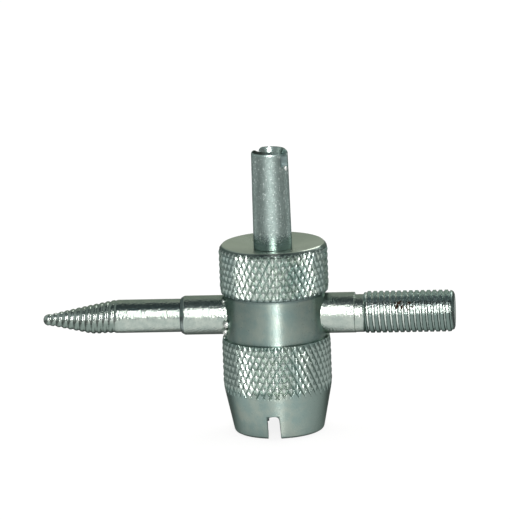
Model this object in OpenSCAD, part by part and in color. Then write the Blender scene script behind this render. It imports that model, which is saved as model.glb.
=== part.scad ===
// Valve thread chaser: a four-way tyre valve tool of plated steel.
// A turned, knurled body carries a thread die in its nose and a slotted valve-core driver on top.
// Two arms are pressed into its waist: a tapered left-hand extractor and a right-hand thread tap.
// Millimetres. The origin is the centre of the die's mouth, +Z runs up the body, +X along the tap.

/* [Body] */
// Diameter over the knurled bands
body_d = 13; // [12.8:0.1:13.4]
// Height from the die face to the top rim
body_h = 22.8; // [22.4:0.1:23]
// Diameter of the die face at the bottom of the nose
nose_d = 10.6; // [10.2:0.1:11]
// Height of the tapered nose
nose_h = 5.8; // [5:0.1:6.4]
// Rounding of the edge of the die face
nose_edge = 0.25; // [0.1:0.05:0.4]
// Narrowest diameter of the waist
waist_d = 12.1; // [11.6:0.1:12.2]
// Diameter where the waist meets the knurled bands
waist_edge_d = 12.4; // [12.4:0.02:12.6]
// Height of the waist
waist_h = 5.4; // [5.2:0.1:5.8]
// Width of the chamfer round the top rim
rim_chamfer_w = 0.5; // [0.4:0.05:0.8]
// Height of the chamfer round the top rim
rim_chamfer_h = 0.5; // [0.4:0.05:0.7]
// Depth of the dished top at the driver's foot
dish_depth = 0.6; // [0.3:0.05:0.7]

/* [Knurl] */
// Teeth round each knurled band
knurl_teeth = 48; // [40:1:56]
// Depth of the knurl's grooves
knurl_depth = 0.16; // [0.1:0.01:0.2]
// Height of one row of teeth
knurl_row_h = 0.78; // [0.7:0.01:0.9]

/* [Die] */
// Bore of the die: the crests of its 8V1 tyre valve thread
die_bore_d = 6.9; // [6.8:0.05:7]
// Depth of the full bore
die_depth = 8.8; // [8:0.1:9]
// Diameter of the lead-in at the mouth
die_lead_d = 7.8; // [7.6:0.1:7.8]
// Width of the chip slot through the nose
slot_w = 1.4; // [1:0.1:1.6]
// Height of the chip slot
slot_h = 2.85; // [2:0.05:3]
// Lean of the chip slot away from the body's axis, towards the extractor
slot_lean = 2.6; // [0:0.1:5]
// Turn of the chip slot from the line square to the arms
slot_turn = 4; // [-15:1:15]
// Offset of the chip slot from the body's axis
slot_offset = -0.54; // [-0.6:0.02:0.6]

/* [Core driver] */
// Height of the driver's tip above the die face
driver_top = 34.1; // [33:0.1:35]
// Diameter of the driver at its foot
driver_foot_d = 4.58; // [4.5:0.02:4.6]
// Diameter of the driver at its tip
driver_tip_d = 4.36; // [4.3:0.02:4.4]
// Diameter of the spigot pressed into the body
driver_spigot_d = 3.6; // [3.4:0.1:3.8]
// Length of the spigot
driver_spigot_h = 4.2; // [4:0.1:4.4]
// Bore that takes the head of a valve core
driver_bore_d = 2.8; // [2.6:0.1:3]
// Depth of the full bore
driver_bore_h = 7.4; // [6:0.1:8]
// Width of the slot across the tip
driver_slot_w = 1.8; // [1.6:0.1:2]
// Depth of the slot across the tip
driver_slot_h = 2; // [1.6:0.1:2.4]
// Turn of the slot from the line of the arms
driver_slot_turn = -26; // [-90:1:90]

/* [Arms] */
// Height of the arms above the die face
arm_z = 14.1; // [14:0.1:14.3]
// Distance of each arm's pressed end from the body's axis
arm_seat = 1.5; // [1.2:0.1:2]
// Pitch of both arms' threads, 36 to the inch
arm_pitch = 0.7056; // [0.7:0.0056:0.7112]

/* [Extractor] */
// Diameter of the extractor's shoulder
extractor_shoulder_d = 4.68; // [4.6:0.02:4.8]
// Reach of the shoulder from the body's axis
extractor_shoulder_x = 11.25; // [11:0.05:11.5]
// Diameter of the shank
extractor_shank_d = 3.98; // [3.9:0.02:4.04]
// Reach of the shank from the body's axis
extractor_shank_x = 18.95; // [18.5:0.05:19.2]
// Reach of the tip from the body's axis
extractor_tip_x = 27.85; // [27:0.05:28.5]
// Diameter of the rounded tip
extractor_tip_d = 1.4; // [1.2:0.05:1.5]
// Depth of the extractor's left-hand thread
extractor_depth = 0.2; // [0.18:0.02:0.26]

/* [Tap] */
// Diameter of the tap's shoulder
tap_shoulder_d = 4.85; // [4.8:0.01:4.95]
// Reach of the shoulder from the body's axis
tap_shoulder_x = 9.55; // [9.4:0.05:9.7]
// Diameter of the neck behind the thread
tap_neck_d = 4.42; // [4.42:0.02:4.6]
// Reach of the neck from the body's axis
tap_neck_x = 10.6; // [10.5:0.05:10.8]
// Diameter over the tap's thread
tap_d = 5; // [4.9:0.02:5.1]
// Depth of the tap's right-hand thread
tap_depth = 0.3; // [0.26:0.01:0.3]
// Reach of the tap's end from the body's axis
tap_end_x = 21.45; // [21:0.05:22]

/* [Hidden] */
$fn = 96;
zinc = [0.62, 0.66, 0.65];
steel = [0.55, 0.59, 0.6];
// Clearance by which a cut runs past the surface that it opens
past = 1;
// Half the point angle of a drill
drill_half = 59;
// Facets round one turn of a thread
thread_sides = 20;
// Share of the pitch taken by a thread's flat crest
crest_share = 0.24;
// Half the angle between a thread's flanks
flank_half = 27;
// Depth by which a thread's ridge is let into its core
ridge_sink = 0.05;
// Chamfer on the end of the extractor's shoulder
shoulder_edge = 0.28;
// Middle of the waist, a little above the arms
waist_z = arm_z + 0.1;
rim_d = body_d - 2 * rim_chamfer_w;
// Radius at the bottom of the knurl's grooves, and of the solid core just under them
groove_r = body_d / 2 - knurl_depth;
core_r = groove_r - 0.04;
// Radius at which the teeth of a knurled band end inside the core, and of the band's hidden inner wall
buried_r = core_r - 0.3;
band_inner_r = core_r - 0.6;
// Length over which the teeth run out at a band's end, and over which they run out on the nose
band_fade = 0.25;
nose_fade = 0.6;
driver_seat_z = body_h - dish_depth;
driver_seat_d = driver_foot_d + 0.3;
// The extractor's taper is steeper from its tip to the knee than from the knee to the shank
knee_x = 22;
knee_d = 3.5;

// Revolved outline, given as [radius, height] points
module turned(outline) {
    rotate_extrude() polygon(outline);
}

// Blind drilled hole that opens upwards at height 0, with the drill's point at its bottom
module drilled(d, depth) {
    point_h = d / 2 / tan(drill_half);
    turned([[0, past], [d / 2, past], [d / 2, -depth], [0, -depth - point_h]]);
}

// Turns a shape made along +Z so that it lies along +X or -X at the arms' height
module along_arm(side) {
    translate([0, 0, arm_z]) rotate([0, 90 * side, 0]) children();
}

// Helical ridge of a right-hand thread round +Z, from height z0 to z1.
// crest lists [height, crest radius] pairs, and the ridge fades into its core at both ends.
module thread_ridge(z0, z1, crest, depth, pitch, fade_turns) {
    count = floor((z1 - z0) / pitch * thread_sides);
    function fade(i) = min(1, min(i, count - i) / (fade_turns * thread_sides));
    function section(i) =
        let (
            z = z0 + pitch * i / thread_sides,
            root = lookup(z, crest) - depth,
            low = root - 2 * ridge_sink,
            top = root - ridge_sink + (depth + ridge_sink) * fade(i),
            half_top = pitch * crest_share / 2,
            half_low = half_top + (top - low) * tan(flank_half)
        )
        [[low, z - half_low], [top, z - half_top], [top, z + half_top], [low, z + half_low]];
    points = [
        for (i = [0 : count])
            for (p = section(i))
                [p.x * cos(360 * i / thread_sides), p.x * sin(360 * i / thread_sides), p.y]
    ];
    sides = [
        for (i = [0 : count - 1])
            for (k = [0 : 3])
                let (a = 4 * i + k, b = 4 * i + (k + 1) % 4)
                    each [[a, b, b + 4], [a, b + 4, a + 4]]
    ];
    last = 4 * count;
    ends = [[3, 2, 1], [3, 1, 0], [last, last + 1, last + 2], [last, last + 2, last + 3]];
    polyhedron(points, concat(sides, ends));
}

// Ring of diamond knurling from height low to high, whose teeth run out over the given lengths.
// Low and high points alternate round each level and from level to level, so the grooves cross.
module knurl_band(low, high, low_fade, high_fade) {
    columns = 2 * knurl_teeth;
    rows = round((high - low) / knurl_row_h);
    loop = rows + 5;
    function tooth_r(c, k) = (c + k) % 2 == 0 ? groove_r : body_d / 2;
    function outline(c) = concat(
        [[buried_r, low - low_fade]],
        [for (k = [0 : rows]) [tooth_r(c, k), low + (high - low) * k / rows]],
        [[buried_r, high + high_fade], [band_inner_r, high + high_fade], [band_inner_r, low - low_fade]]
    );
    points = [
        for (c = [0 : columns - 1])
            for (p = outline(c))
                [p.x * cos(360 * c / columns), p.x * sin(360 * c / columns), p.y]
    ];
    faces = [
        for (c = [0 : columns - 1])
            for (k = [0 : loop - 1])
                let (
                    left = c * loop,
                    right = (c + 1) % columns * loop,
                    next = (k + 1) % loop
                )
                each (c + k) % 2 == 1
                    ? [[left + k, left + next, right + next], [left + k, right + next, right + k]]
                    : [[left + k, left + next, right + k], [left + next, right + next, right + k]]
    ];
    polyhedron(points, faces);
}

// Solid of the body before it is knurled, bored and slotted
module body_blank() {
    nose_slope = (body_d - nose_d) / 2 / nose_h;
    turned([
        [0, 0],
        [nose_d / 2 - nose_edge, 0],
        [nose_d / 2 + nose_slope * nose_edge, nose_edge],
        [core_r, (core_r - nose_d / 2) / nose_slope],
        [core_r, body_h - rim_chamfer_h],
        [rim_d / 2, body_h],
        [driver_seat_d / 2, driver_seat_z],
        [0, driver_seat_z]
    ]);
}

// Hollow of the waist: a ring of round section that bites into the body between the bands
module waist_hollow() {
    bite = (waist_edge_d - waist_d) / 2;
    hollow_r = (pow(waist_h / 2, 2) + pow(bite, 2)) / (2 * bite);
    translate([0, 0, waist_z]) rotate_extrude() translate([waist_d / 2 + hollow_r, 0]) circle(hollow_r);
}

module turned_body() {
    color(zinc) difference() {
        union() {
            difference() {
                body_blank();
                waist_hollow();
            }
            knurl_band(nose_h, waist_z - waist_h / 2, nose_fade, band_fade);
            knurl_band(waist_z + waist_h / 2, body_h - rim_chamfer_h, band_fade, band_fade);
        }
        mirror([0, 0, 1]) drilled(die_bore_d, die_depth);
        cylinder(d1 = die_lead_d, d2 = die_bore_d, h = (die_lead_d - die_bore_d) / 2);
        rotate([0, -slot_lean, slot_turn])
            translate([slot_offset - slot_w / 2, -body_d, -past])
                cube([slot_w, 2 * body_d, slot_h + past]);
        translate([0, 0, driver_seat_z - driver_spigot_h]) cylinder(d = driver_spigot_d, h = body_h);
        along_arm(-1) translate([0, 0, arm_seat]) cylinder(d = extractor_shoulder_d, h = body_d);
        along_arm(1) translate([0, 0, arm_seat]) cylinder(d = tap_shoulder_d, h = body_d);
    }
}

module core_driver() {
    foot_edge = 0.2;
    tip_edge = 0.25;
    color(steel) difference() {
        turned([
            [0, driver_seat_z - driver_spigot_h],
            [driver_spigot_d / 2, driver_seat_z - driver_spigot_h],
            [driver_spigot_d / 2, driver_seat_z],
            [driver_foot_d / 2 - foot_edge, driver_seat_z],
            [driver_foot_d / 2, driver_seat_z + foot_edge],
            [driver_tip_d / 2, driver_top - tip_edge],
            [driver_tip_d / 2 - tip_edge, driver_top],
            [0, driver_top]
        ]);
        translate([0, 0, driver_top]) drilled(driver_bore_d, driver_bore_h);
        translate([0, 0, driver_top - driver_slot_h])
            rotate([0, 0, driver_slot_turn])
                translate([-body_d / 2, -driver_slot_w / 2, 0])
                    cube([body_d, driver_slot_w, driver_slot_h + past]);
    }
}

module extractor_arm() {
    shank_r = extractor_shank_d / 2;
    ball_x = extractor_tip_x - extractor_tip_d / 2;
    crest = [[extractor_shank_x, shank_r], [knee_x, knee_d / 2], [ball_x, extractor_tip_d / 2 + extractor_depth]];
    color(steel) along_arm(-1) {
        turned([
            [0, arm_seat],
            [extractor_shoulder_d / 2, arm_seat],
            [extractor_shoulder_d / 2, extractor_shoulder_x - shoulder_edge],
            [extractor_shoulder_d / 2 - shoulder_edge, extractor_shoulder_x],
            [shank_r, extractor_shoulder_x],
            [shank_r, extractor_shank_x - extractor_depth],
            [shank_r - extractor_depth, extractor_shank_x],
            [knee_d / 2 - extractor_depth, knee_x],
            [extractor_tip_d / 2, ball_x],
            [0, ball_x]
        ]);
        translate([0, 0, ball_x]) sphere(d = extractor_tip_d);
        mirror([0, 1, 0])
            thread_ridge(extractor_shank_x - arm_pitch / 2, ball_x, crest, extractor_depth, arm_pitch, 1);
    }
}

module tap_arm() {
    root_r = tap_d / 2 - tap_depth;
    end_edge = 0.35;
    crest = [[tap_neck_x, tap_d / 2], [tap_end_x, tap_d / 2]];
    color(steel) along_arm(1) {
        turned([
            [0, arm_seat],
            [tap_shoulder_d / 2, arm_seat],
            [tap_shoulder_d / 2, tap_shoulder_x],
            [tap_neck_d / 2, tap_shoulder_x],
            [tap_neck_d / 2, tap_neck_x],
            [root_r, tap_neck_x + abs(tap_neck_d / 2 - root_r)],
            [root_r, tap_end_x - end_edge],
            [root_r - end_edge, tap_end_x],
            [0, tap_end_x]
        ]);
        thread_ridge(tap_neck_x, tap_end_x - end_edge, crest, tap_depth, arm_pitch, 0.6);
    }
}

turned_body();
core_driver();
extractor_arm();
tap_arm();
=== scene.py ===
import math

import bpy
from mathutils import Matrix, Vector


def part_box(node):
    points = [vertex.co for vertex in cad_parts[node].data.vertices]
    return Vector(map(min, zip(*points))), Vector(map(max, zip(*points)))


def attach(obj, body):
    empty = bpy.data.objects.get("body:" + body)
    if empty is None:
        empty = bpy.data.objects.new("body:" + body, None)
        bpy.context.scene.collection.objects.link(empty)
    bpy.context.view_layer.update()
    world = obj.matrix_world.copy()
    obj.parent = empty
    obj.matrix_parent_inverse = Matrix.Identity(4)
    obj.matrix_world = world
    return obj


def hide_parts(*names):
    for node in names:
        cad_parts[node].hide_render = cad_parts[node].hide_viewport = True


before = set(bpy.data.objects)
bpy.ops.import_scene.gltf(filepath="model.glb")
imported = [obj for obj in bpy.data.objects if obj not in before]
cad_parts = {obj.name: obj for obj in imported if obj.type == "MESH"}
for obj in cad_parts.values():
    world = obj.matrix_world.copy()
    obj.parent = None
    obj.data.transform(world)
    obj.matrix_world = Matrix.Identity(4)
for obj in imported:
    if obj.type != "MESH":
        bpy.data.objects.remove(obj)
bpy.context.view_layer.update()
mm = 0.001  # pieces are drawn in millimetres and brought to metres at the end
turn = 2 * math.pi
tiny = 1e-6  # a radius below this counts as none
print("frame loaded:", sorted(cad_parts))


def frameBox(node):
    low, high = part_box(node)
    return low / mm, high / mm


bodyHigh = frameBox("turned_body")[1]
driverLow, driverHigh = frameBox("core_driver")
extractorLow, extractorHigh = frameBox("extractor_arm")
tapLow, tapHigh = frameBox("tap_arm")
bodyRadius = bodyHigh.y
bodyTop = bodyHigh.z
tipHeight = driverHigh.z
extractorRadius = (extractorHigh.z - extractorLow.z) / 2
armHeight = (extractorLow.z + extractorHigh.z) / 2
armSeat = tapLow.x  # where the pressed ends of the arms stop inside the body


# Outlines, each a list of (radius, height) points up the axis of a turned piece

def rounded(corners, steps=6):
    # corners are (radius, height, rounding), and a rounded corner is cut back by that much on both sides
    points = []
    for i, (r, z, rounding) in enumerate(corners):
        corner = Vector((r, z))
        if rounding == 0:
            points.append(corner)
            continue
        back = Vector(corners[i - 1][:2]) - corner
        ahead = Vector(corners[i + 1][:2]) - corner
        start = corner + back.normalized() * rounding
        end = corner + ahead.normalized() * rounding
        for k in range(steps + 1):
            s = k / steps
            points.append(start * (1 - s) ** 2 + corner * 2 * s * (1 - s) + end * s ** 2)
    return points


def divided(points, step, low, high):
    # splits the stretches between two heights, so that a pattern has rows to work on
    rows = [points[0]]
    for a, b in zip(points, points[1:]):
        within = low <= (a.y + b.y) / 2 <= high
        count = max(1, math.ceil((b - a).length / step)) if within else 1
        rows += [a.lerp(b, k / count) for k in range(1, count + 1)]
    return rows


def bothSides(half):
    # closes a half outline, which starts at the bottom and ends on the middle line
    mirrored = [Vector((-p.x, p.y)) for p in reversed(half) if p.x > tiny]
    return [Vector((p.x, p.y)) for p in half] + mirrored


# Meshes

def addMesh(name, points, faces):
    mesh = bpy.data.meshes.new(name)
    mesh.from_pydata(points, [], faces)
    piece = bpy.data.objects.new(name, mesh)
    bpy.context.scene.collection.objects.link(piece)
    return piece


def turnedPiece(name, rows, columns):
    # spins the rows round Z: a row is (radius, height) or (radius, height, shift in columns)
    shifts = [sum(row[2:]) for row in rows]
    points = []
    rings = []
    for row, shift in zip(rows, shifts):
        r, z = row[:2]
        if r < tiny:
            rings.append([len(points)])
            points.append((0, 0, z))
            continue
        rings.append(range(len(points), len(points) + columns))
        for c in range(columns):
            angle = turn * (c + shift) / columns
            points.append((r * math.cos(angle), r * math.sin(angle), z))
    faces = []
    for k, (low, high) in enumerate(zip(rings, rings[1:])):
        for c in range(columns):
            d = (c + 1) % columns
            if len(low) == 1:
                faces.append((low[0], high[d], high[c]))
            elif len(high) == 1:
                faces.append((low[c], low[d], high[0]))
            elif shifts[k] == shifts[k + 1]:
                faces.append((low[c], low[d], high[d], high[c]))
            elif shifts[k] > shifts[k + 1]:
                faces += [(low[c], high[d], high[c]), (low[c], low[d], high[d])]
            else:
                faces += [(low[c], low[d], high[c]), (low[d], high[d], high[c])]
    return addMesh(name, points, faces)


def lofted(name, rings):
    # joins rings of points, each with the same count, and closes both ends
    count = len(rings[0])
    points = [point for ring in rings for point in ring]
    faces = [tuple(reversed(range(count))), tuple(range(len(points) - count, len(points)))]
    for k in range(len(rings) - 1):
        for c in range(count):
            d = (c + 1) % count
            faces.append((k * count + c, k * count + d, (k + 1) * count + d, (k + 1) * count + c))
    return addMesh(name, points, faces)


def lump(name, place, radius, steps=12):
    # small ball of raised metal
    angles = [math.pi * k / steps for k in range(steps + 1)]
    ball = turnedPiece(name, [(radius * math.sin(a), -radius * math.cos(a)) for a in angles], 2 * steps)
    ball.data.transform(Matrix.Translation(place))
    return ball


def alongArm(piece, side):
    # lays a piece that was made up the Z axis along the arm on that side
    lift = Matrix.Translation((0, 0, armHeight))
    piece.data.transform(lift @ Matrix.Rotation(side * math.pi / 2, 4, "Y"))


# Finishing: modifiers are settled into plain meshes, and cutters go once they have cut

def settle(piece):
    graph = bpy.context.evaluated_depsgraph_get()
    mesh = bpy.data.meshes.new_from_object(piece.evaluated_get(graph))
    piece.modifiers.clear()
    piece.data = mesh


def combine(piece, operation, others):
    for other in others:
        boolean = piece.modifiers.new(operation.lower(), "BOOLEAN")
        boolean.operation = operation
        boolean.solver = "MANIFOLD"
        boolean.object = other
    settle(piece)
    for other in others:
        bpy.data.objects.remove(other)


def finishPiece(piece, node, sharpAngle):
    piece.data.transform(Matrix.Scale(mm, 4))
    piece.data.shade_smooth()
    piece.data.set_sharp_from_angle(angle=math.radians(sharpAngle))
    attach(piece, "root")
    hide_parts(node)
    triangles = sum(len(face.vertices) - 2 for face in piece.data.polygons)
    print(piece.name, "finished:", triangles, "triangles")


# Nodes

def link(tree, slot, value):
    if isinstance(value, bpy.types.NodeSocket):
        tree.links.new(value, slot)
    else:
        slot.default_value = value


def addNode(tree, kind, inputs=None, **settings):
    node = tree.nodes.new(kind)
    for key, value in settings.items():
        setattr(node, key, value)
    for key, value in (inputs or {}).items():
        link(tree, node.inputs[key], value)
    return node


def maths(tree, operation, *values):
    return addNode(tree, "ShaderNodeMath", dict(enumerate(values)), operation=operation).outputs[0]


def times(tree, *factors):
    product = factors[0]
    for factor in factors[1:]:
        product = maths(tree, "MULTIPLY", product, factor)
    return product


def ramped(tree, value, fromLow, fromHigh, toLow=0.0, toHigh=1.0, smooth=True):
    values = {"Value": value, "From Min": fromLow, "From Max": fromHigh, "To Min": toLow, "To Max": toHigh}
    style = "SMOOTHSTEP" if smooth else "LINEAR"
    return addNode(tree, "ShaderNodeMapRange", values, interpolation_type=style).outputs[0]


def rises(tree, value, span, low=0.0, high=1.0):
    # smooth step over a span in millimetres
    return ramped(tree, value, span[0] * mm, span[1] * mm, low, high)


def falls(tree, value, span):
    return rises(tree, value, span, 1.0, 0.0)


def blended(tree, share, low, high):
    return ramped(tree, share, 0.0, 1.0, low, high, smooth=False)


def mixed(tree, share, low, high):
    # as blended, for colours
    node = addNode(tree, "ShaderNodeMix", data_type="RGBA")
    for slot, value in ((0, share), (6, low), (7, high)):
        link(tree, node.inputs[slot], value)
    return node.outputs[2]


def gap(tree, value, centre):
    # distance to either side of a place in millimetres
    return maths(tree, "ABSOLUTE", maths(tree, "SUBTRACT", value, centre * mm))


def split(tree, vector):
    return addNode(tree, "ShaderNodeSeparateXYZ", {0: vector}).outputs


def lengthOf(tree, vector):
    return addNode(tree, "ShaderNodeVectorMath", {0: vector}, operation="LENGTH").outputs["Value"]


noiseSpan = (0.3, 0.7)  # where most values of a noise lie


def noise(tree, place, size, detail, roughness=0.6):
    values = {"Vector": place, "Scale": 1 / (size * mm), "Detail": detail, "Roughness": roughness}
    return addNode(tree, "ShaderNodeTexNoise", values).outputs[0]


def radialTree(name, labels, rule):
    # tree that moves every point towards or away from the Z axis, to the radius that a rule gives
    tree = bpy.data.node_groups.new(name, "GeometryNodeTree")
    tree.interface.new_socket("Geometry", in_out="INPUT", socket_type="NodeSocketGeometry")
    for label in labels:
        tree.interface.new_socket(label, in_out="INPUT", socket_type="NodeSocketFloat")
    tree.interface.new_socket("Material", in_out="INPUT", socket_type="NodeSocketMaterial")
    tree.interface.new_socket("Geometry", in_out="OUTPUT", socket_type="NodeSocketGeometry")
    given = addNode(tree, "NodeGroupInput").outputs
    parts = split(tree, addNode(tree, "GeometryNodeInputPosition").outputs[0])
    angle = maths(tree, "DIVIDE", maths(tree, "ARCTAN2", parts["Y"], parts["X"]), turn)
    squares = [maths(tree, "MULTIPLY", parts[axis], parts[axis]) for axis in "XY"]
    radius = maths(tree, "SQRT", maths(tree, "ADD", *squares))
    wanted = rule(tree, given, angle, parts["Z"], radius)
    share = maths(tree, "DIVIDE", wanted, maths(tree, "MAXIMUM", radius, tiny))
    moved = addNode(tree, "ShaderNodeCombineXYZ", {
        "X": maths(tree, "MULTIPLY", parts["X"], share),
        "Y": maths(tree, "MULTIPLY", parts["Y"], share),
        "Z": parts["Z"],
    })
    shaped = addNode(tree, "GeometryNodeSetPosition", {
        "Geometry": given["Geometry"], "Position": moved.outputs[0],
    })
    whole = addNode(tree, "GeometryNodeRealizeInstances", {0: shaped.outputs[0]})
    painted = addNode(tree, "GeometryNodeSetMaterial", {
        "Geometry": whole.outputs[0], "Material": given["Material"],
    })
    addNode(tree, "NodeGroupOutput", {0: painted.outputs[0]})
    return tree


def shapeBy(piece, tree, values, material):
    modifier = piece.modifiers.new(tree.name, "NODES")
    modifier.node_group = tree
    settings = {**values, "Material": material}
    for item in tree.interface.items_tree:
        if item.in_out == "INPUT" and item.name in settings:
            modifier[item.identifier] = settings[item.name]
    settle(piece)


def threadRule(tree, given, angle, height, radius):
    # helical groove with rounded crests, which runs out at both ends
    along = maths(tree, "DIVIDE", height, given["Pitch"])
    phase = maths(tree, "SUBTRACT", along, maths(tree, "MULTIPLY", angle, given["Hand"]))
    apart = maths(tree, "MULTIPLY", maths(tree, "PINGPONG", phase, 0.5), 2.0)
    groove = ramped(tree, apart, given["Root"], given["Crest"], 1.0, 0.0)
    runIn = maths(tree, "ADD", given["Start"], given["Run In"])
    runOut = maths(tree, "SUBTRACT", given["End"], given["Run Out"])
    starting = ramped(tree, height, given["Start"], runIn)
    ending = ramped(tree, height, runOut, given["End"], 1.0, 0.0)
    cut = times(tree, groove, maths(tree, "MULTIPLY", starting, ending), given["Depth"])
    return maths(tree, "SUBTRACT", radius, cut)


threadTree = radialTree("helicalThread", [
    "Pitch", "Depth", "Hand", "Root", "Crest", "Start", "End", "Run In", "Run Out",
], threadRule)
print("thread nodes built")


# Zinc plating: tinted blotches, a fine grain, turning marks and small pits

blotchSpan = (0.35, 0.68)
pitEdge = 0.06


def zincPlating(name, look, zones):
    # zones give (mask, colour or None, roughness or None), laid over the plain finish in turn
    material = bpy.data.materials.new(name)
    material.use_nodes = True
    tree = material.node_tree
    shader = tree.nodes["Principled BSDF"]
    shader.inputs["Metallic"].default_value = 1.0
    shader.inputs["Specular Tint"].default_value = look["edge"]
    shader.inputs["Anisotropic"].default_value = look["brushed"]
    # a quarter turn of the brushing stretches highlights up
    shader.inputs["Anisotropic Rotation"].default_value = look["brushTurn"]
    place = addNode(tree, "ShaderNodeTexCoord").outputs["Object"]
    parts = split(tree, place)
    flat = addNode(tree, "ShaderNodeCombineXYZ", {"X": parts["X"], "Y": parts["Y"]})
    reach = lengthOf(tree, flat.outputs[0])
    blotches = ramped(tree, noise(tree, place, look["blotchSize"], 4), *blotchSpan)
    grain = noise(tree, place, look["grainSize"], look["grainDetail"])
    pits = noise(tree, place, look["pitSize"], 2)
    pits = ramped(tree, pits, look["pitLevel"], look["pitLevel"] + pitEdge)
    colour = mixed(tree, blotches, look["shade"], look["tint"])
    colour = mixed(tree, pits, colour, look["pitColour"])
    rough = ramped(tree, grain, *noiseSpan, look["roughLow"], look["roughHigh"])
    for mask, zoneColour, zoneRough in zones(tree, place, parts, reach):
        if zoneColour:
            colour = mixed(tree, mask, colour, zoneColour)
        if zoneRough:
            rough = blended(tree, mask, rough, zoneRough)
    link(tree, shader.inputs["Base Color"], colour)
    link(tree, shader.inputs["Roughness"], rough)

    # turning marks run round the piece: fine along its axis, long round it
    along = maths(tree, "ADD", parts["Z"], reach) if look["axis"] == "Z" else parts["X"]
    across = maths(tree, "MULTIPLY", maths(tree, "ADD", parts["X"], parts["Y"]), look["markSpread"])
    marks = addNode(tree, "ShaderNodeCombineXYZ", {"X": across, "Z": along}).outputs[0]
    marks = noise(tree, marks, look["markPitch"], 2)
    heights = (
        (maths(tree, "SUBTRACT", 1.0, pits), look["pitHeight"]),
        (marks, look["markHeight"]),
        (grain, look["grainHeight"]),
    )
    normal = None
    for height, size in heights:
        bump = addNode(tree, "ShaderNodeBump", {"Height": height, "Strength": 1.0, "Distance": size * mm})
        if normal:
            link(tree, bump.inputs["Normal"], normal)
        normal = bump.outputs[0]
    link(tree, shader.inputs["Normal"], normal)
    return material


# Turned body: nose, two knurled bands, a hollow waist and a dished top

body = {
    "noseRadius": 5.32, "noseHeight": 5.85, "noseEdge": 0.4, "noseBlend": 0.9, "noseRows": 0.35,
    "waistBottom": 11.5, "waistTop": 16.95, "waistEdge": 6.2, "waistRadius": 6.05, "waistRows": 0.5,
    "waistLowStep": 0.05, "waistLowFillet": 0.042, "waistTopStep": 0.12, "waistTopFillet": 0.07,
    "bandEnd": 6.38, "bandStep": 0.06, "bandTaper": 0.95, "bandRounding": 0.3,
    "rimWidth": 0.5, "rimHeight": 0.5, "rimRounding": 0.4, "rimEdge": 0.12, "rimMargin": 0.01,
    "dishDepth": 0.6, "seatRadius": 2.44, "sharpAngle": 26,
    "roundingSteps": 4, "toothColumns": 8, "rowSpace": 0.1, "noseRowsFrom": 0.05, "waistMargin": 0.1,
    # marks where the extractor was staked: degrees below the front of the arm, distance from its axis, radius
    "stakes": ((13.5, 2.56, 0.46), (39, 2.56, 0.40), (64, 2.85, 0.2), (-52, 2.5, 0.22)), "stakeReach": 6.2,
}
knurl = {
    "Teeth": 48.0, "Row Height": 0.78, "Rounding": 1.5, "Unevenness": 0.2, "Patches": 1.4,
    "Depth": 0.30, "Flank": 0.5, "Cross Depth": 0.31, "Cross Flank": 0.47,
    "Low Cross": 0.6, "Low Top": 14.0, "Side From": 0.5, "Side To": 4.0,
    "Rim Start": 20.0, "Rim Fade": 1.0, "End Fade": 1.5, "Radius": bodyRadius,
}
die = {
    "crestRadius": 3.45, "depth": 8.8, "point": 2.07, "leadRadius": 3.9,
    "pitch": 0.794, "threadDepth": 0.42, "pitchRows": 12, "columns": 80,
}
chipSlot = {
    "width": 1.42, "flare": 0.04, "height": 2.88, "lean": 2.6, "turn": 4, "offset": -0.53,
    "topRounding": 0.6, "mouthRounding": 0.18, "edge": 0.1,
}
cutter = {"skirt": 1.2, "past": 0.004, "beyond": 1, "holeColumns": 96}
# ends of the other pieces, pressed into the body
pressed = {"spigotRadius": 1.8, "tapShoulder": 2.425, "gap": 0.015}
bodyLook = {
    "tint": (0.37, 0.44, 0.39, 1), "shade": (0.28, 0.38, 0.355, 1), "blotchSize": 2.0,
    "edge": (0.5, 0.55, 0.52, 1), "brushed": 0.9, "brushTurn": 0.25, "roughLow": 0.27, "roughHigh": 0.37,
    "grainSize": 0.14, "grainHeight": 0.008, "grainDetail": 3,
    "axis": "Z", "markPitch": 0.16, "markSpread": 0.04, "markHeight": 0.006,
    "pitSize": 0.3, "pitLevel": 0.72, "pitColour": (0.20, 0.25, 0.24, 1), "pitHeight": 0.004,
    # tooth tops: worn bright metal with a painted highlight
    "crest": (6.20, 6.36), "crestWearAndSheenColour": (0.66, 0.74, 0.69, 1), "crestRough": 0.3,
    "offWaist": (2.9, 3.5), "aboveNose": (5.6, 6.2),
    "wornRight": (0.3, 3.0), "wornLeft": (-5.2, -2.2), "wornLeast": 0.22,
    "wornRise": (12, 16), "wornLow": 0.85,
    # painted shade at the left and right of the lower band and the nose
    "side": (2.0, 5.2), "sideTop": (11.0, 11.5), "sideColour": (0.22, 0.285, 0.26, 1),
    # painted shade in the corner under the upper band
    "cornerHeight": 16.92, "cornerHalf": (0.12, 0.42), "cornerShadeColour": (0.19, 0.25, 0.24, 1),
    # the top face is painted lighter, standing in for the light it catches
    "face": (22.05, 22.25), "faceLightColour": (0.66, 0.73, 0.65, 1), "faceRough": 0.22,
    # painted dark reflection along the outer edge of the top face
    "rim": (6.08, 6.16), "rimShadeColour": (0.22, 0.27, 0.25, 1),
    # painted contact shade along the bottom edge of the nose
    "contactShade": (0.17, 0.34), "contactShadeColour": (0.11, 0.14, 0.13, 1),
    # stake marks: raw metal painted near white as a glint
    "stake": (6.09, 6.15), "stakeHalf": (2.45, 2.6), "stakeGlintColour": (0.85, 0.88, 0.84, 1), "stakeRough": 0.5,
    "slotShade": (0.0, 0.13), "slotShadeColour": (0.10, 0.14, 0.13, 1),
}


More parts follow.
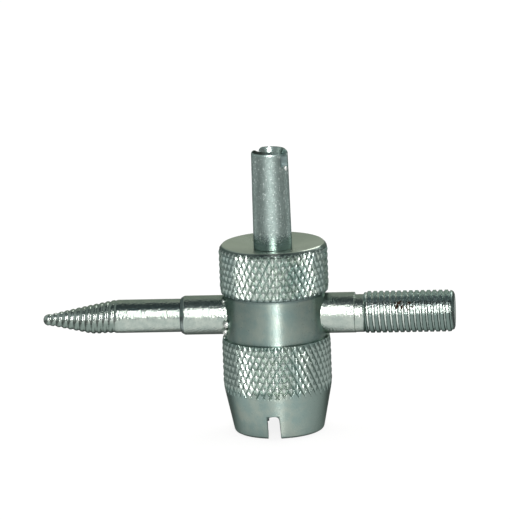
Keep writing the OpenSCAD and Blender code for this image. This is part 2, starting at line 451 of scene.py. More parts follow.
def knurlRule(tree, given, angle, height, radius):
    # two families of grooves cross, and whichever is deeper at a point sets its radius
    around = maths(tree, "MULTIPLY", angle, given["Teeth"])
    climb = maths(tree, "DIVIDE", height, maths(tree, "MULTIPLY", given["Row Height"], 2.0))
    cuts = []
    for side, family in (("ADD", ""), ("SUBTRACT", "Cross ")):
        apart = maths(tree, "PINGPONG", maths(tree, side, around, climb), 0.5)
        flank = maths(tree, "SUBTRACT", 1.0, maths(tree, "DIVIDE", apart, given[family + "Flank"]))
        shape = maths(tree, "POWER", maths(tree, "MAXIMUM", flank, 0.0), given["Rounding"])
        cuts.append(maths(tree, "MULTIPLY", shape, given[family + "Depth"]))
    # the cross grooves were pressed less deep on one side of the lower band
    place = addNode(tree, "GeometryNodeInputPosition").outputs[0]
    aside = ramped(tree, split(tree, place)["X"], given["Side From"], given["Side To"])
    lower = maths(tree, "MULTIPLY", aside, maths(tree, "LESS_THAN", height, given["Low Top"]))
    cuts[1] = maths(tree, "MULTIPLY", cuts[1], blended(tree, lower, 1.0, given["Low Cross"]))
    wander = addNode(tree, "ShaderNodeTexNoise", {"Vector": place, "Scale": given["Patches"], "Detail": 1.0})
    shallow = maths(tree, "SUBTRACT", 1.0, given["Unevenness"])
    uneven = ramped(tree, wander.outputs[0], *noiseSpan, shallow, 1.0)
    cut = maths(tree, "MULTIPLY", maths(tree, "MAXIMUM", *cuts), uneven)
    # below the full radius the grooves grow shallower: slowly over the rim, and soon at the other ends
    inset = maths(tree, "MAXIMUM", maths(tree, "SUBTRACT", given["Radius"], radius), 0.0)
    onRim = maths(tree, "GREATER_THAN", height, given["Rim Start"])
    fade = blended(tree, onRim, given["End Fade"], given["Rim Fade"])
    left = maths(tree, "SUBTRACT", cut, maths(tree, "MULTIPLY", inset, fade))
    return maths(tree, "SUBTRACT", radius, maths(tree, "MAXIMUM", left, 0.0))


def bodyMarksAndPaintedLight(tree, place, parts, reach):
    # tooth tops are worn bright with a painted highlight, the top face is smooth and painted lighter with a
    # painted dark reflection at its edge, the bottom edge carries painted contact shade, and the stake marks
    # are raw metal painted near white as a glint
    look = bodyLook
    # the top face is painted lighter, standing in for the light it catches
    face = rises(tree, parts["Z"], look["face"])
    # painted dark reflection along the outer edge of the top face
    rim = times(tree, face, rises(tree, reach, look["rim"]))
    offArm = gap(tree, parts["Z"], armHeight)
    aboveNose = rises(tree, parts["Z"], look["aboveNose"])
    # the tooth tops are painted brighter, as wear and as a painted highlight: most at the front, a little to
    # the left, and less on the lower band
    crests = times(
        tree, rises(tree, reach, look["crest"]), maths(tree, "SUBTRACT", 1.0, face),
        rises(tree, offArm, look["offWaist"]), aboveNose,
        rises(tree, parts["X"], look["wornRight"], 1.0, look["wornLeast"]),
        rises(tree, parts["X"], look["wornLeft"], look["wornLeast"], 1.0),
        rises(tree, parts["Z"], look["wornRise"], look["wornLow"], 1.0),
    )
    # painted shade darkens the lower band at its left and right, and the nose at its right
    rightSideShade = rises(tree, parts["X"], look["side"])
    leftSideShade = falls(tree, parts["X"], [-x for x in reversed(look["side"])])
    sideShade = maths(tree, "ADD", rightSideShade, maths(tree, "MULTIPLY", leftSideShade, aboveNose))
    sideShade = times(tree, sideShade, falls(tree, parts["Z"], look["sideTop"]))
    # painted shade in the corner under the upper band
    corner = falls(tree, gap(tree, parts["Z"], look["cornerHeight"]), look["cornerHalf"])
    # painted contact shade along the bottom edge of the nose
    contactShade = falls(tree, parts["Z"], look["contactShade"])
    # stake marks: raw metal painted near white as a glint
    staked = times(tree, rises(tree, reach, look["stake"]), falls(tree, offArm, look["stakeHalf"]))
    # a dark line follows the edge of the chip slot
    tilt = (0, -math.radians(chipSlot["lean"]), math.radians(chipSlot["turn"]))
    upright = addNode(tree, "ShaderNodeMapping", {"Vector": place, "Rotation": tilt}, vector_type="TEXTURE")
    slotParts = split(tree, upright.outputs[0])
    beside = gap(tree, slotParts["X"], chipSlot["offset"])
    beside = maths(tree, "SUBTRACT", beside, chipSlot["width"] / 2 * mm)
    above = maths(tree, "SUBTRACT", slotParts["Z"], chipSlot["height"] * mm)
    slotShade = falls(tree, maths(tree, "MAXIMUM", beside, above), look["slotShade"])
    return [
        (sideShade, look["sideColour"], None),
        (face, look["faceLightColour"], look["faceRough"]),
        (rim, look["rimShadeColour"], None),
        (crests, look["crestWearAndSheenColour"], look["crestRough"]),
        (corner, look["cornerShadeColour"], None),
        (contactShade, look["contactShadeColour"], None),
        (slotShade, look["slotShadeColour"], None),
        (staked, look["stakeGlintColour"], look["stakeRough"]),
    ]


bodyPlatingAndPaintedLight = zincPlating("bodyPlatingAndPaintedLight", bodyLook, bodyMarksAndPaintedLight)
knurlTree = radialTree("diamondKnurl", knurl, knurlRule)
seatHeight = bodyTop - body["dishDepth"]
lowOutline = rounded([
    (0, 0, 0),
    (body["noseRadius"], 0, body["noseEdge"]),
    (bodyRadius, body["noseHeight"], body["noseBlend"]),
    (bodyRadius, body["waistBottom"] - body["bandTaper"], body["bandRounding"]),
    (body["bandEnd"], body["waistBottom"] - body["bandStep"], 0),
    (body["waistEdge"], body["waistBottom"], 0),
], body["roundingSteps"])
waistOutline = rounded([
    (body["waistEdge"], body["waistBottom"], 0),
    (body["waistRadius"], body["waistBottom"] + body["waistLowStep"], body["waistLowFillet"]),
    (body["waistRadius"], body["waistTop"] - body["waistTopStep"], body["waistTopFillet"]),
    (body["waistEdge"], body["waistTop"], 0),
], body["roundingSteps"])[1:-1]
topOutline = rounded([
    (body["waistEdge"], body["waistTop"], 0),
    (body["bandEnd"], body["waistTop"] + body["bandStep"], 0),
    (bodyRadius, body["waistTop"] + body["bandTaper"], body["bandRounding"]),
    (bodyRadius, bodyTop - body["rimHeight"], body["rimRounding"]),
    (bodyRadius - body["rimWidth"], bodyTop, body["rimEdge"]),
    (body["seatRadius"], seatHeight, 0),
    (0, seatHeight, 0),
], body["roundingSteps"])
noseTop = body["noseHeight"] - body["noseBlend"]
bodyOutline = divided(lowOutline, body["noseRows"], body["noseRowsFrom"], noseTop)
bodyOutline += divided(waistOutline, body["waistRows"], body["waistBottom"], body["waistTop"]) + topOutline


def knurledRows(outline):
    # adds rows to the bands, staggered so that edges run along both families of grooves
    step = knurl["Row Height"] / body["toothColumns"]
    space = body["rowSpace"] * step
    rimEdge = bodyRadius - body["rimWidth"] - body["rimMargin"]
    waistEdge = body["waistRadius"] + body["waistMargin"]
    top = outline.index(max(outline, key=lambda p: p.y))
    rows = [(p.x, p.y, 0) for p in outline[:top]]
    for a, b in zip(outline[:top], outline[1:top + 1]):
        edge = rimEdge if b.y > knurl["Rim Start"] else waistEdge
        if min(a.x, b.x) < edge or b.y <= a.y:
            continue
        for k in range(math.ceil(a.y / step), math.floor(b.y / step) + 1):
            z = k * step
            if a.y + space < z < b.y - space:
                r = a.x + (b.x - a.x) * (z - a.y) / (b.y - a.y)
                rows.append((r, z, 0.5 * (k % 2)))
    return sorted(rows, key=lambda row: row[1]) + [(p.x, p.y, 0) for p in outline[top:]]


turnedBody = turnedPiece("chaserBody", knurledRows(bodyOutline), int(knurl["Teeth"]) * body["toothColumns"])
shapeBy(turnedBody, knurlTree, knurl, bodyPlatingAndPaintedLight)
print("body knurled")


def threadedPlug():
    # the shape of the valve stem that the die takes
    low = -cutter["beyond"]
    outer = die["crestRadius"] + die["threadDepth"]
    corners = ((0, low), (outer, low), (outer, die["depth"]), (0, die["depth"] + die["point"]))
    rows = divided([Vector(corner) for corner in corners], die["pitch"] / die["pitchRows"], low, die["depth"])
    plug = turnedPiece("diePlug", rows, die["columns"])
    shapeBy(plug, threadTree, {
        "Pitch": die["pitch"], "Depth": die["threadDepth"], "Hand": 1.0, "Root": 0.12, "Crest": 0.8,
        "Start": -1.0, "End": die["depth"] + 1, "Run In": 0.1, "Run Out": 0.1,
    }, bodyPlatingAndPaintedLight)
    return plug


def drill(name, radius, low, high):
    # plain hole for a pressed end
    clear = radius + pressed["gap"]
    return turnedPiece(name, [(0, low), (clear, low), (clear, high), (0, high)], cutter["holeColumns"])


def socket(name, radius, side):
    hole = drill(name, radius, armSeat, bodyRadius + 2 * cutter["beyond"])
    alongArm(hole, side)
    return hole


def chipSlotCutter():
    # goes right across the nose, with its edges eased where it comes out of the cone
    half = chipSlot["width"] / 2
    slope = (bodyRadius - body["noseRadius"]) / body["noseHeight"]
    edge = chipSlot["edge"]

    def outline(wider):
        top = chipSlot["height"] + wider * 0.5
        return bothSides(rounded([
            (half + cutter["skirt"], -cutter["beyond"], 0),
            (half + cutter["skirt"], -cutter["past"], 0),
            (half + chipSlot["flare"] + wider, -cutter["past"], chipSlot["mouthRounding"]),
            (half + wider, top, chipSlot["topRounding"]),
            (0, top, 0),
        ]))

    def ring(wider, side, inset):
        return [
            (p.x, side * (body["noseRadius"] + slope * max(p.y, 0) - inset), p.y)
            for p in outline(wider)
        ]

    # how much wider the slot is, and how far inside the cone
    steps = [(edge, -3.0), (edge, 0.0), (edge * 0.3, edge * 0.4), (0.0, edge * 1.3)]
    rings = [ring(wider, 1, inset) for wider, inset in steps]
    rings += [ring(wider, -1, inset) for wider, inset in reversed(steps)]
    slot = lofted("chipSlot", rings)
    lean = Matrix.Rotation(math.radians(-chipSlot["lean"]), 4, "Y")
    turned = Matrix.Rotation(math.radians(chipSlot["turn"]), 4, "Z")
    slot.data.transform(turned @ lean @ Matrix.Translation((chipSlot["offset"], 0, 0)))
    return slot


def stakeMark(number, below, distance, radius):
    y = -distance * math.cos(math.radians(below))
    z = armHeight - distance * math.sin(math.radians(below))
    return lump(f"stake{number}", (-math.sqrt(body["stakeReach"] ** 2 - y ** 2), y, z), radius)


leadDepth = die["leadRadius"] - die["crestRadius"]
leadIn = turnedPiece("leadIn", [
    (0, -cutter["beyond"]), (die["leadRadius"] + cutter["beyond"], -cutter["beyond"]),
    (die["leadRadius"], 0), (die["crestRadius"], leadDepth), (0, leadDepth),
], cutter["holeColumns"])
spigotHole = drill("spigotHole", pressed["spigotRadius"], driverLow.z, bodyTop + cutter["beyond"])
combine(turnedBody, "UNION", [stakeMark(k, *mark) for k, mark in enumerate(body["stakes"])])
combine(turnedBody, "DIFFERENCE", [
    threadedPlug(), leadIn, chipSlotCutter(), spigotHole,
    socket("extractorSocket", extractorRadius, -1), socket("tapSocket", pressed["tapShoulder"], 1),
])
finishPiece(turnedBody, "turned_body", body["sharpAngle"])


# Core driver: a hollow, slightly tapered post with a slot across its tip

driver = {
    "footRadius": 2.29, "footEdge": 0.12, "ringHeight": 0.70, "ringDepth": 0.035, "ringHalf": 0.04,
    "tipRadius": 2.18, "tipDrop": 0.34, "tipInset": 0.3, "tipRounding": 0.16, "tipEdge": 0.08,
    "boreRadius": 1.4, "boreDepth": 7.4, "borePoint": 0.84, "boreRounding": 0.3,
    "mouthRadius": 1.63, "mouthDepth": 0.8, "mouthEdge": 0.06,
    "slotWidth": 1.85, "slotDepth": 2.0, "slotTurn": -25, "slotFloor": 0.35, "slotEdge": 0.2,
    "slotReach": 5, "slotAbove": 0.5,
    "burrReach": 2.02, "burrRadius": 0.32, "burrDrop": 0.16,
    "rows": 0.12, "columns": 128, "sharpAngle": 40,
}
driverLook = {
    "tint": (0.50, 0.625, 0.59, 1), "shade": (0.41, 0.52, 0.49, 1), "blotchSize": 0.5,
    "edge": (0.24, 0.28, 0.27, 1), "brushed": 0.55, "brushTurn": 0.0, "roughLow": 0.32, "roughHigh": 0.40,
    "grainSize": 0.17, "grainHeight": 0.02, "grainDetail": 2,
    "axis": "Z", "markPitch": 0.2, "markSpread": 0.3, "markHeight": 0.002,
    "pitSize": 0.32, "pitLevel": 0.68, "pitColour": (0.24, 0.30, 0.29, 1), "pitHeight": 0.006,
    "bore": (1.78, 1.9), "boreColour": (0.54, 0.64, 0.61, 1), "boreRough": 0.18,
    # painted light on the slot walls and the bore below the tip
    "deepReach": (2.02, 2.08), "deepDrop": (1.1, 0.5), "deepLightColour": (0.59, 0.72, 0.72, 1), "deepRough": 0.5,
    # painted shade on the lower end of the post
    "foot": (23.3, 24.5), "footRagged": 2.4, "footColour": (0.37, 0.47, 0.46, 1), "footRough": 0.24,
    "speckSize": 0.2, "speck": (0.63, 0.68), "speckColour": (0.82, 0.92, 0.89, 1), "speckRough": 0.55,
    # painted dark reflection on the front left of the tip's rim
    "lipDrop": (0.3, 0.2), "lipSide": (-0.9, 0.2), "lipShadeColour": (0.09, 0.10, 0.09, 1),
    # the raised lump by the slot is raw metal painted near white as a glint
    "burrSpread": 1.1, "burrGlintColour": (0.92, 0.96, 0.94, 1), "burrRough": 0.5,
}
ringHeight = seatHeight + driver["ringHeight"]
burrPlace = Matrix.Rotation(math.radians(driver["slotTurn"]), 3, "Z") @ Vector((driver["burrReach"], 0, 0))
burrPlace.z = tipHeight - driver["slotDepth"] - driver["burrDrop"]


def driverMarksAndPaintedLight(tree, place, parts, reach):
    # light specks are strewn over the post, its lower end is smooth and painted darker as shade, the slot
    # walls and bore below the tip are painted lighter as light, one side of the tip's rim carries a painted
    # dark reflection, and the raised lump by the slot is painted near white as a glint
    look = driverLook
    scatter = noise(tree, place, look["speckSize"], 1.0, roughness=0.5)
    specks = ramped(tree, scatter, *look["speck"])
    # painted shade on the lower end of the post, with a ragged upper edge
    ragged = maths(tree, "MULTIPLY", maths(tree, "SUBTRACT", scatter, 0.5), look["footRagged"] * mm)
    foot = falls(tree, maths(tree, "ADD", parts["Z"], ragged), look["foot"])
    bore = falls(tree, reach, look["bore"])
    # painted light on the slot walls and the bore below the tip
    deep = falls(tree, parts["Z"], [tipHeight - drop for drop in look["deepDrop"]])
    deep = times(tree, deep, falls(tree, reach, look["deepReach"]))
    # painted dark reflection on the front left of the tip's rim
    lipShade = rises(tree, parts["Z"], [tipHeight - drop for drop in look["lipDrop"]])
    lipShade = times(tree, lipShade, *[falls(tree, parts[axis], look["lipSide"]) for axis in "XY"])
    # the raised lump by the slot is raw metal painted near white as a glint
    away = addNode(tree, "ShaderNodeVectorMath", {0: place, 1: burrPlace * mm}, operation="DISTANCE")
    burrSpan = (driver["burrRadius"], driver["burrRadius"] * look["burrSpread"])
    burrGlint = falls(tree, away.outputs["Value"], burrSpan)
    return [
        (specks, look["speckColour"], look["speckRough"]),
        (foot, look["footColour"], look["footRough"]),
        (bore, look["boreColour"], look["boreRough"]),
        (deep, look["deepLightColour"], look["deepRough"]),
        (lipShade, look["lipShadeColour"], None),
        (burrGlint, look["burrGlintColour"], look["burrRough"]),
    ]


driverPlatingAndPaintedLight = zincPlating("driverPlatingAndPaintedLight", driverLook, driverMarksAndPaintedLight)
driverOutline = rounded([
    (0, driverLow.z, 0),
    (pressed["spigotRadius"], driverLow.z, 0),
    (pressed["spigotRadius"], seatHeight, 0),
    (driver["footRadius"], seatHeight, driver["footEdge"]),
    (driver["footRadius"], ringHeight - driver["ringHalf"], 0),
    (driver["footRadius"] - driver["ringDepth"], ringHeight, 0),
    (driver["footRadius"], ringHeight + driver["ringHalf"], 0),
    (driver["tipRadius"], tipHeight - driver["tipDrop"], driver["tipRounding"]),
    (driver["tipRadius"] - driver["tipInset"], tipHeight, driver["tipEdge"]),
    (driver["mouthRadius"], tipHeight, driver["mouthEdge"]),
    (driver["boreRadius"], tipHeight - driver["mouthDepth"], driver["boreRounding"]),
    (driver["boreRadius"], tipHeight - driver["boreDepth"], 0),
    (0, tipHeight - driver["boreDepth"] - driver["borePoint"], 0),
])
driverRows = divided(driverOutline, driver["rows"], seatHeight, tipHeight)
coreDriver = turnedPiece("coreDriver", driverRows, driver["columns"])
coreDriver.data.materials.append(driverPlatingAndPaintedLight)


def driverSlotCutter():
    half = driver["slotWidth"] / 2
    reach = driver["slotReach"]
    outline = bothSides(rounded([
        (half + cutter["skirt"], tipHeight + driver["slotAbove"], 0),
        (half + cutter["skirt"], tipHeight + cutter["past"], 0),
        (half, tipHeight + cutter["past"], driver["slotEdge"]),
        (half, tipHeight - driver["slotDepth"], driver["slotFloor"]),
        (0, tipHeight - driver["slotDepth"], 0),
    ]))
    slot = lofted("driverSlot", [[(x, p.x, p.y) for p in outline] for x in (reach, -reach)])
    slot.data.transform(Matrix.Rotation(math.radians(driver["slotTurn"]), 4, "Z"))
    return slot


combine(coreDriver, "DIFFERENCE", [driverSlotCutter()])
combine(coreDriver, "UNION", [lump("slotBurr", burrPlace, driver["burrRadius"])])
finishPiece(coreDriver, "core_driver", driver["sharpAngle"])


# Plating of both arms

armLook = {
    "tint": (0.46, 0.52, 0.47, 1), "shade": (0.38, 0.45, 0.41, 1), "blotchSize": 0.9,
    "edge": (0.5, 0.55, 0.52, 1), "brushed": 0.0, "brushTurn": 0.0, "roughLow": 0.10, "roughHigh": 0.18,
    "grainSize": 0.24, "grainHeight": 0.04, "grainDetail": 1,
    "axis": "X", "markPitch": 0.14, "markSpread": 0.05, "markHeight": 0.002,
    "pitSize": 0.25, "pitLevel": 0.7, "pitColour": (0.16, 0.20, 0.19, 1), "pitHeight": 0.004,
    "shoulder": (10.6, 10.7), "shoulderRough": 0.23,
    # painted shade at the step between shoulder and shank
    "stepMiddle": -11.08, "stepHalf": (0.18, 0.26), "stepShadeColour": (0.24, 0.29, 0.28, 1),
    # the cone is painted darker below its axis as shade
    "cone": (-19.5, -18.5), "coneLowShade": (-0.6, 0.0), "coneLowShadeColour": (0.22, 0.28, 0.25, 1),
    # painted highlight along the middle of the cone
    "coneMiddleHighlight": 0.3, "coneMiddleHalf": (0.2, 0.45), "coneMiddleHighlightColour": (0.66, 0.73, 0.69, 1),
    "thread": (10.3, 10.9), "threadColour": (0.25, 0.30, 0.28, 1), "threadRough": 0.26,
    "threadShade": (1.05, 1.35), "threadShadeColour": (0.17, 0.215, 0.205, 1),
    # painted light along the top of the tap thread, painted shade underneath
    "threadTop": (1.5, 1.8), "threadTopLightColour": (0.50, 0.625, 0.60, 1),
    "threadLow": (0.15, 0.45), "threadLowShadeColour": (0.17, 0.23, 0.21, 1),
    # painted highlights in the tap's grooves, fainter underneath and further out
    "groove": (2.33, 2.40), "grooveEnd": (20.6, 20.7), "grooveHighlightColour": (0.66, 0.72, 0.68, 1),
    "grooveLow": (-2.0, -0.2), "grooveLowShare": 0.15, "grooveFar": (14.5, 18.5), "grooveFarShare": 0.3,
    "end": (21.1, 21.2), "endColour": (0.16, 0.20, 0.19, 1),
    "chipCentre": (15.3, -2.2, 15.3), "chipSpread": (1.4, 1.2, 0.7), "chipEdge": (0.8, 1.1),
    "flakeSize": 0.45, "flake": (0.44, 0.48), "flakeThin": 0.12,
    "chipColour": (0.05, 0.035, 0.025, 1), "chipRough": 0.6,
}


def armMarksAndPaintedLight(tree, place, parts, reach):
    # shoulders are duller, the tap's crests are dark between grooves with a painted highlight, the tap thread
    # and the cone carry painted shade and light by height, the step carries painted shade, and the tap is
    # chipped in one place
    look = armLook
    rise = maths(tree, "SUBTRACT", parts["Z"], armHeight * mm)  # above the arms' axis
    shoulders = falls(tree, maths(tree, "ABSOLUTE", parts["X"]), look["shoulder"])
    # painted shade at the step between shoulder and shank
    step = falls(tree, gap(tree, parts["X"], look["stepMiddle"]), look["stepHalf"])
    cone = falls(tree, parts["X"], look["cone"])
    # the cone is painted darker below its axis as shade
    coneLowShade = times(tree, cone, falls(tree, rise, look["coneLowShade"]))
    # painted highlight along the middle of the cone
    coneMiddleHighlight = times(tree, cone, falls(tree, gap(tree, rise, look["coneMiddleHighlight"]), look["coneMiddleHalf"]))
    thread = rises(tree, parts["X"], look["thread"])
    fromAxis = addNode(tree, "ShaderNodeCombineXYZ", {"Y": parts["Y"], "Z": rise}).outputs[0]
    # painted highlights in the tap's grooves, fainter underneath and further out
    grooves = times(
        tree, falls(tree, lengthOf(tree, fromAxis), look["groove"]), thread,
        falls(tree, parts["X"], look["grooveEnd"]),
        rises(tree, rise, look["grooveLow"], look["grooveLowShare"], 1.0),
        rises(tree, parts["X"], look["grooveFar"], 1.0, look["grooveFarShare"]),
    )
    away = place
    for operation, key in (("SUBTRACT", "chipCentre"), ("DIVIDE", "chipSpread")):
        values = {0: away, 1: Vector(look[key]) * mm}
        away = addNode(tree, "ShaderNodeVectorMath", values, operation=operation).outputs[0]
    away = lengthOf(tree, away)
    flakes = noise(tree, place, look["flakeSize"], 2.0, roughness=0.5)
    flakes = maths(tree, "SUBTRACT", flakes, maths(tree, "MULTIPLY", away, look["flakeThin"]))
    chips = times(tree, ramped(tree, flakes, *look["flake"]), ramped(tree, away, *look["chipEdge"], 1.0, 0.0))
    return [
        (shoulders, None, look["shoulderRough"]),
        (step, look["stepShadeColour"], None),
        (thread, look["threadColour"], look["threadRough"]),
        # painted shade on the upper flank of the tap thread, painted light along its top and painted shade
        # underneath
        (times(tree, thread, rises(tree, rise, look["threadShade"])), look["threadShadeColour"], None),
        (times(tree, thread, rises(tree, rise, look["threadTop"])), look["threadTopLightColour"], None),
        (times(tree, thread, falls(tree, rise, look["threadLow"])), look["threadLowShadeColour"], None),
        (coneLowShade, look["coneLowShadeColour"], None),
        (coneMiddleHighlight, look["coneMiddleHighlightColour"], None),
        (grooves, look["grooveHighlightColour"], None),
        (rises(tree, parts["X"], look["end"]), look["endColour"], None),
        (chips, look["chipColour"], look["chipRough"]),
    ]


armPlatingAndPaintedLight = zincPlating("armPlatingAndPaintedLight", armLook, armMarksAndPaintedLight)


# Extractor arm: shoulder, shank and a tapered left-hand thread with a ball tip

extractor = {
    "shoulderEnd": 11.25, "shoulderEdge": 0.42, "shoulderRounding": 0.1,
    "stepRise": 0.12, "stepBack": 0.04, "stepAhead": 0.02, "stepRounding": 0.06,
    "shankRadius": 1.99, "shankEnd": 18.95, "shankRounding": 0.3,
    "kneeReach": 22.0, "kneeRadius": 1.75, "kneeRounding": 0.6,
    "tipRadius": 0.70, "tipShare": 0.6, "tipBack": 0.5, "tipSteps": 10,
    "pitch": 0.7056, "threadDepth": 0.12, "threadBack": 1.0, "droop": 0.28, "droopReach": 3.5,
    "rows": 0.25, "pitchRows": 20, "columns": 80, "sharpAngle": 35,
}
tipReach = -extractorLow.x
ballReach = tipReach - extractor["tipRadius"]
ball = []
for k in range(extractor["tipSteps"]):
    angle = math.pi / 2 * k / extractor["tipSteps"]
    reach = ballReach + extractor["tipRadius"] * math.sin(angle)
    ball.append(Vector((extractor["tipRadius"] * math.cos(angle), reach)))
extractorOutline = rounded([
    (0, armSeat, 0),
    (extractorRadius, armSeat, 0),
    (extractorRadius, extractor["shoulderEnd"] - extractor["shoulderEdge"], extractor["shoulderRounding"]),
    (extractor["shankRadius"] + extractor["stepRise"], extractor["shoulderEnd"] - extractor["stepBack"],
     extractor["stepRounding"]),
    (extractor["shankRadius"], extractor["shoulderEnd"] + extractor["stepAhead"], 0),
    (extractor["shankRadius"], extractor["shankEnd"], extractor["shankRounding"]),
    (extractor["kneeRadius"], extractor["kneeReach"], extractor["kneeRounding"]),
    (extractor["tipRadius"] + extractor["threadDepth"] * extractor["tipShare"],
     ballReach - extractor["tipBack"], 0),
])
extractorOutline += ball + [Vector((0, tipReach))]
threadedFrom = extractor["shankEnd"] - extractor["threadBack"]
plainRows = divided(extractorOutline, extractor["rows"], armSeat, threadedFrom)
extractorRows = divided(plainRows, extractor["pitch"] / extractor["pitchRows"], threadedFrom, tipReach)
extractorArm = turnedPiece("extractorArm", extractorRows, extractor["columns"])
shapeBy(extractorArm, threadTree, {
    "Pitch": extractor["pitch"], "Depth": extractor["threadDepth"], "Hand": -1.0, "Root": 0.0, "Crest": 0.8,
    "Start": extractor["shankEnd"] - 0.5, "End": tipReach - 0.3, "Run In": 1.2, "Run Out": 0.8,
}, armPlatingAndPaintedLight)
alongArm(extractorArm, -1)
for point in extractorArm.data.vertices:  # the cone sits a little low
    beyond = min(1, max(0, -point.co.x - extractor["shankEnd"]) / extractor["droopReach"])
    point.co.z -= extractor["droop"] * beyond ** 2 * (3 - 2 * beyond)
finishPiece(extractorArm, "extractor_arm", extractor["sharpAngle"])


# Tap arm: shoulder, neck and a right-hand thread with a rounded end

tap = {
    "shoulderEnd": 9.55, "shoulderRounding": 0.1,
    "neckRadius": 2.26, "neckStep": 0.04, "neckEdge": 0.05, "neckEnd": 10.6, "neckRounding": 0.1,
    "neckDrop": 0.12, "neckMargin": 0.01,
    "threadRadius": 2.5, "threadRise": 0.3, "threadRounding": 0.15, "threadDepth": 0.19, "pitch": 0.7056,
    "endEdge": 0.8, "endMargin": 1e-4, "rows": 0.25, "pitchRows": 20, "columns": 96, "sharpAngle": 35,
}
tapReach = tapHigh.x
tapOutline = rounded([
    (0, armSeat, 0),
    (pressed["tapShoulder"], armSeat, 0),
    (pressed["tapShoulder"], tap["shoulderEnd"], tap["shoulderRounding"]),
    (tap["neckRadius"], tap["shoulderEnd"] + tap["neckStep"], tap["neckEdge"]),
    (tap["neckRadius"], tap["neckEnd"], tap["neckRounding"]),
    (tap["threadRadius"], tap["neckEnd"] + tap["threadRise"], tap["threadRounding"]),
    (tap["threadRadius"], tapReach, tap["endEdge"]),
    (0, tapReach, 0),
])
plainRows = divided(tapOutline, tap["rows"], armSeat, tap["neckEnd"])
tapRows = divided(plainRows, tap["pitch"] / tap["pitchRows"], tap["neckEnd"], tapReach - tap["endMargin"])
tapArm = turnedPiece("tapArm", tapRows, tap["columns"])
shapeBy(tapArm, threadTree, {
    "Pitch": tap["pitch"], "Depth": tap["threadDepth"], "Hand": 1.0, "Root": 0.2, "Crest": 0.5,
    "Start": tap["neckEnd"], "End": tapReach - 0.02, "Run In": 0.5, "Run Out": 0.6,
}, armPlatingAndPaintedLight)
alongArm(tapArm, 1)
for point in tapArm.data.vertices:  # the neck sits a little low
    if tap["shoulderEnd"] < point.co.x - tap["neckMargin"] < tap["neckEnd"]:
        point.co.z -= tap["neckDrop"]
finishPiece(tapArm, "tap_arm", tap["sharpAngle"])


# Camera

camera = {
    "azimuth": 4.95, "elevation": 13.4, "roll": 2.18, "distance": 700.0, "pixelsPerMm": 8.392,
    "aimHeight": 14.0, "aimPixel": (275.45, 314.39), "imageSize": (510, 520), "sensor": 36.0,
    "clip": (0.01, 20),
}


def direction(azimuth, elevation):
    # unit vector towards a viewer at that azimuth and elevation, in degrees
    a = math.radians(azimuth)
    e = math.radians(elevation)
    return Vector((math.sin(a) * math.cos(e), -math.cos(a) * math.cos(e), math.sin(e)))


def makeCamera():
    away = direction(camera["azimuth"], camera["elevation"])
    level = Vector((0, 0, 1)).cross(away).normalized()
    upright = away.cross(level)
    roll = math.radians(camera["roll"])
    right = level * math.cos(roll) - upright * math.sin(roll)
    up = level * math.sin(roll) + upright * math.cos(roll)
    target = Vector((0, 0, camera["aimHeight"]))
    place = target + away * camera["distance"]
    offset = [camera["aimPixel"][k] - camera["imageSize"][k] / 2 for k in (0, 1)]
    centre = target - right * offset[0] / camera["pixelsPerMm"] + up * offset[1] / camera["pixelsPerMm"]
    back = (place - centre).normalized()
    right = up.cross(back).normalized()
    up = back.cross(right)
    data = bpy.data.cameras.new("camera")
    data.sensor_width = camera["sensor"]
    data.lens = camera["pixelsPerMm"] * camera["distance"] * camera["sensor"] / max(camera["imageSize"])
    data.clip_start, data.clip_end = camera["clip"]
    piece = bpy.data.objects.new("camera", data)
    piece.matrix_world = Matrix.Translation(place * mm) @ Matrix((right, up, back)).transposed().to_4x4()
    bpy.context.scene.collection.objects.link(piece)
    bpy.context.scene.camera = piece


makeCamera()
bpy.context.scene.view_settings.view_transform = "Standard"
print("camera set")


# Floor: white to the camera, and in reflections white paper in front of and behind the tool on a grey table,
# with a painted shadow under and just behind the tool

floorPaperAndPaintedShadow = {  # lengths in millimetres
    "size": 8000, "drop": 0.02, "glow": 0.86, "tableTone": 0.22,
    "middle": -2.4, "edge": (20, 50), "spread": 0.18, "back": (-12, 2), "slant": 0.5,
    "rearStart": (30, 60), "rearEnd": (68, 84), "rearTone": 1.0,
}


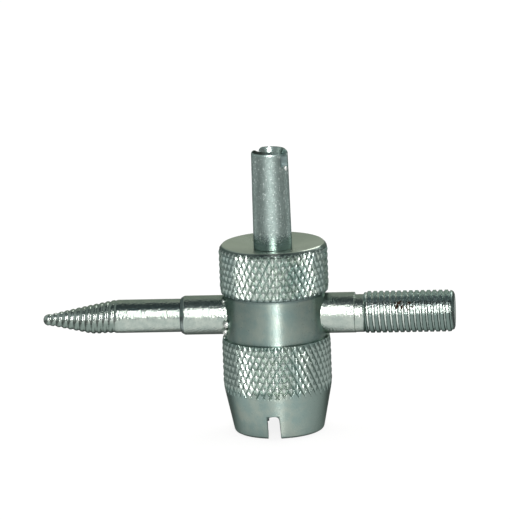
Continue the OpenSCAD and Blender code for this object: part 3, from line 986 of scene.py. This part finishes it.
def makeFloor():
    half = floorPaperAndPaintedShadow["size"] * mm / 2
    corners = [(-half, -half, 0), (half, -half, 0), (half, half, 0), (-half, half, 0)]
    floor = addMesh("floor", corners, [(0, 1, 2, 3)])
    floor.location.z = -floorPaperAndPaintedShadow["drop"] * mm
    material = bpy.data.materials.new("floorPaperAndPaintedShadow")
    material.use_nodes = True
    tree = material.node_tree
    tree.nodes.clear()
    place = addNode(tree, "ShaderNodeTexCoord").outputs["Object"]
    facing = (0, 0, -math.radians(camera["azimuth"]))
    turned = addNode(tree, "ShaderNodeMapping", {"Vector": place, "Rotation": facing})
    parts = split(tree, turned.outputs[0])
    across = gap(tree, parts["X"], floorPaperAndPaintedShadow["middle"])
    beyond = maths(tree, "ADD", across, maths(tree, "MULTIPLY", parts["Y"], floorPaperAndPaintedShadow["spread"]))
    tone = rises(tree, beyond, floorPaperAndPaintedShadow["edge"], 1.0, floorPaperAndPaintedShadow["tableTone"])
    # in reflections the floor under and just behind the tool takes the table's tone: a painted shadow
    back = maths(tree, "SUBTRACT", parts["Y"], maths(tree, "MULTIPLY", across, floorPaperAndPaintedShadow["slant"]))
    tone = blended(tree, rises(tree, back, floorPaperAndPaintedShadow["back"]), tone, floorPaperAndPaintedShadow["tableTone"])
    rear = rises(tree, parts["Y"], floorPaperAndPaintedShadow["rearStart"])
    rear = times(tree, rear, falls(tree, parts["Y"], floorPaperAndPaintedShadow["rearEnd"]))
    tone = blended(tree, rear, tone, floorPaperAndPaintedShadow["rearTone"])
    rays = addNode(tree, "ShaderNodeLightPath").outputs
    tone = maths(tree, "MAXIMUM", tone, rays["Is Camera Ray"])
    seen = maths(tree, "MAXIMUM", rays["Is Camera Ray"], rays["Is Glossy Ray"])
    seen = maths(tree, "MAXIMUM", seen, rays["Is Transmission Ray"])
    glow = addNode(tree, "ShaderNodeEmission", {"Strength": tone})
    paper = addNode(tree, "ShaderNodeBsdfDiffuse", {"Color": tone})
    share = maths(tree, "MULTIPLY", seen, floorPaperAndPaintedShadow["glow"])
    both = addNode(tree, "ShaderNodeMixShader", {0: share, 1: paper.outputs[0], 2: glow.outputs[0]})
    addNode(tree, "ShaderNodeOutputMaterial", {"Surface": both.outputs[0]})
    floor.data.materials.append(material)


# Room, by degrees from the front, over the top, to the back

room = {
    "bands": (
        (0, (0.30, 0.34, 0.34, 1)), (46, (0.28, 0.33, 0.35, 1)),
        (66, (0.06, 0.08, 0.085, 1)), (104, (0.06, 0.075, 0.08, 1)),
        (116, (0.36, 0.39, 0.35, 1)), (152, (0.40, 0.43, 0.38, 1)), (168, (0.64, 0.64, 0.58, 1)),
    ),
    "side": (0.25, 0.55), "sideColour": (0.29, 0.33, 0.32, 1),
    "farSide": (0.9, 0.97), "farSideColour": (0.5, 0.55, 0.52, 1),
}


def makeRoom():
    world = bpy.data.worlds.new("room")
    bpy.context.scene.world = world
    world.use_nodes = True
    tree = world.node_tree
    tree.nodes.clear()
    parts = split(tree, addNode(tree, "ShaderNodeTexCoord").outputs["Generated"])
    rise = maths(tree, "ARCTAN2", parts["Z"], maths(tree, "MULTIPLY", parts["Y"], -1.0))
    bands = addNode(tree, "ShaderNodeValToRGB", {0: maths(tree, "DIVIDE", rise, math.pi)})
    stops = bands.color_ramp.elements
    for degrees, bandColour in room["bands"]:
        stop = stops[0] if degrees == 0 else stops.new(degrees / 180)
        stop.color = bandColour
    stops.remove(stops[-1])
    sideways = maths(tree, "ABSOLUTE", parts["X"])
    colour = bands.outputs[0]
    for side in ("side", "farSide"):
        colour = mixed(tree, ramped(tree, sideways, *room[side]), colour, room[side + "Colour"])
    walls = addNode(tree, "ShaderNodeBackground", {"Color": colour, "Strength": 1.0})
    addNode(tree, "ShaderNodeOutputWorld", {"Surface": walls.outputs[0]})


# Lamps: soft panels round the tool, lengths in metres

lampColour = (1.0, 0.975, 0.94)
panels = {
    "keyPanel": {"turn": 4, "rise": 25, "distance": 0.95, "width": 0.40, "height": 0.74,
                 "radiance": 3.6, "colour": lampColour},
    "corePanel": {"turn": 7.6, "rise": 25, "distance": 0.94, "width": 0.10, "height": 0.74,
                  "radiance": 16.0, "colour": (1.0, 0.88, 0.90)},
    "rearPanel": {"turn": 145, "rise": 40, "distance": 0.95, "width": 0.30, "height": 0.5,
                  "radiance": 2.5, "colour": lampColour},
}
topPanel = {"place": (0, 0.15, 0.9), "size": 0.8, "radiance": 4.0}


def addLamp(name, place, aim, width, height, radiance, colour):
    lamp = bpy.data.lights.new(name, "AREA")
    lamp.shape = "RECTANGLE"
    lamp.size = width
    lamp.size_y = height
    lamp.energy = radiance * math.pi * width * height
    lamp.color = colour
    piece = bpy.data.objects.new(name, lamp)
    piece.location = place
    piece.rotation_euler = (Vector(aim) - Vector(place)).to_track_quat("-Z", "Y").to_euler()
    bpy.context.scene.collection.objects.link(piece)
    return piece


makeFloor()
makeRoom()
middle = Vector((0, 0, armHeight * mm))
for name, panel in panels.items():
    place = middle + direction(panel["turn"], panel["rise"]) * panel["distance"]
    addLamp(name, place, middle, panel["width"], panel["height"], panel["radiance"], panel["colour"])
topLamp = addLamp("topPanel", topPanel["place"], (0, 0, 0), topPanel["size"], topPanel["size"],
                  topPanel["radiance"], lampColour)
topLamp.visible_glossy = False
print("studio lit")
